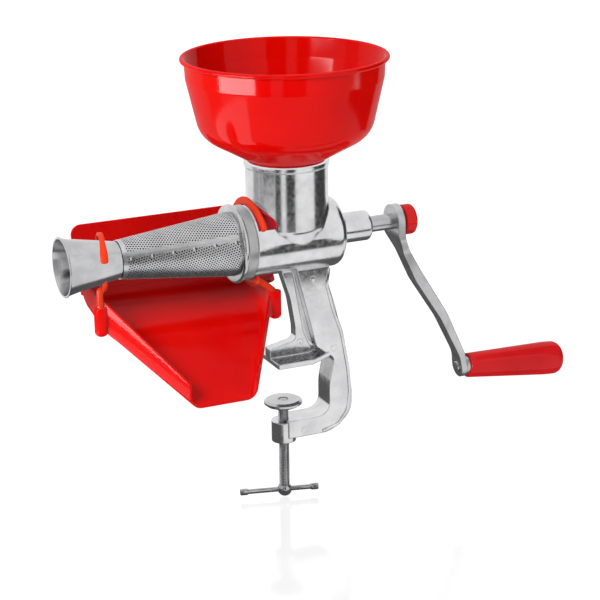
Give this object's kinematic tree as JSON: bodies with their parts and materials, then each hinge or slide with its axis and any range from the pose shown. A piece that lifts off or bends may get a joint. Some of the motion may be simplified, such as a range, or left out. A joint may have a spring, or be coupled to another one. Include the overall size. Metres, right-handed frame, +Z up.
{
  "type": "hand-cranked tomato strainer",
  "caption": "Table-clamped tomato strainer with a red hopper, cast body, perforated cone, side crank and a clip-on spout tray.",
  "frame": {"origin": "on the flat underside of the table jaw, on the clamp screw's axis", "axes": "+X along the barrel towards the crank, +Z up, the tray's spout towards -Y"},
  "size_m": [0.5583, 0.2056, 0.4641],
  "materials": {
    "cast_aluminium": "polished casting, buffed bright",
    "bronze_bush": "machined",
    "black_rubber": "moulded",
    "white_nylon": "moulded",
    "steel": "turned and zinc plated",
    "clamp_steel": "nickel plated",
    "screen_steel": "bright stainless sheet",
    "collar_steel": "satin stainless",
    "auger_plastic": "moulded, off-white",
    "red_handle": "moulded, semi-gloss",
    "red_tray": "moulded, glossy",
    "orange_clip": "moulded, slightly orange red",
    "red_enamel": "glossy enamel on spun steel"
  },
  "bodies": {
    "body": {"body_casting": "cast_aluminium", "rear_bush": "bronze_bush", "shaft_seal": "black_rubber", "thrust_washer": "white_nylon", "bayonet_pins": "steel"},
    "hopper": {"hopper_bowl": "red_enamel"},
    "screen": {"screen_cone": "screen_steel", "screen_ring": "screen_steel", "screen_collar": "collar_steel", "waste_cup": "screen_steel"},
    "crank": {"drive_shaft": "steel", "drive_pin": "steel", "auger": "auger_plastic", "crank_arm": "cast_aluminium", "knob_washer": "steel", "crank_knob": "red_handle", "knob_stud": "steel", "handle_pin": "steel", "pin_keeper": "steel", "handle_ferrule": "cast_aluminium"},
    "grip": {"handle_grip": "red_handle", "grip_plug": "red_handle"},
    "pad": {"clamp_pad": "clamp_steel"},
    "screw": {"clamp_screw": "clamp_steel"},
    "bar": {"tommy_bar": "clamp_steel"},
    "tray": {"tray": "red_tray", "tray_hook_left": "orange_clip", "tray_hook_right": "orange_clip"}
  },
  "joints": [
    {"name": "crank_spin", "type": "hinge", "parent": "body", "child": "crank", "pos_m": [0.0084, 0, 0.13], "axis": [1, 0, 0], "continuous": true},
    {"name": "grip_spin", "type": "hinge", "parent": "crank", "child": "grip", "pos_m": [0.2104, 0, -0.0415], "axis": [0.9969, 0, -0.0785], "continuous": true},
    {"name": "hopper_lift", "type": "slide", "parent": "body", "child": "hopper", "axis": [0, 0, 1], "range_m": [0, 0.06]},
    {"name": "screen_turn", "type": "hinge", "parent": "body", "child": "screen", "pos_m": [-0.0496, 0, 0.13], "axis": [1, 0, 0], "range_deg": [0, 30]},
    {"name": "pad_travel", "type": "slide", "parent": "body", "child": "pad", "axis": [0, 0, 1], "range_m": [-0.0122, 0.0377]},
    {"name": "screw_turn", "type": "hinge", "parent": "pad", "child": "screw", "pos_m": [0, 0, -0.05], "axis": [0, 0, 1], "range_deg": [-2468, 7714]},
    {"name": "bar_slide", "type": "slide", "parent": "screw", "child": "bar", "axis": [0.9677, -0.2521, 0], "range_m": [-0.0196, 0.0311]},
    {"name": "tray_swing", "type": "hinge", "parent": "body", "child": "tray", "pos_m": [0.0084, 0, 0.13], "axis": [1, 0, 0], "range_deg": [0, 12]}
  ],
  "couplings": [
    {"joint": "pad_travel", "follows": "screw_turn", "m_per_rad": 0.00027852}
  ]
}
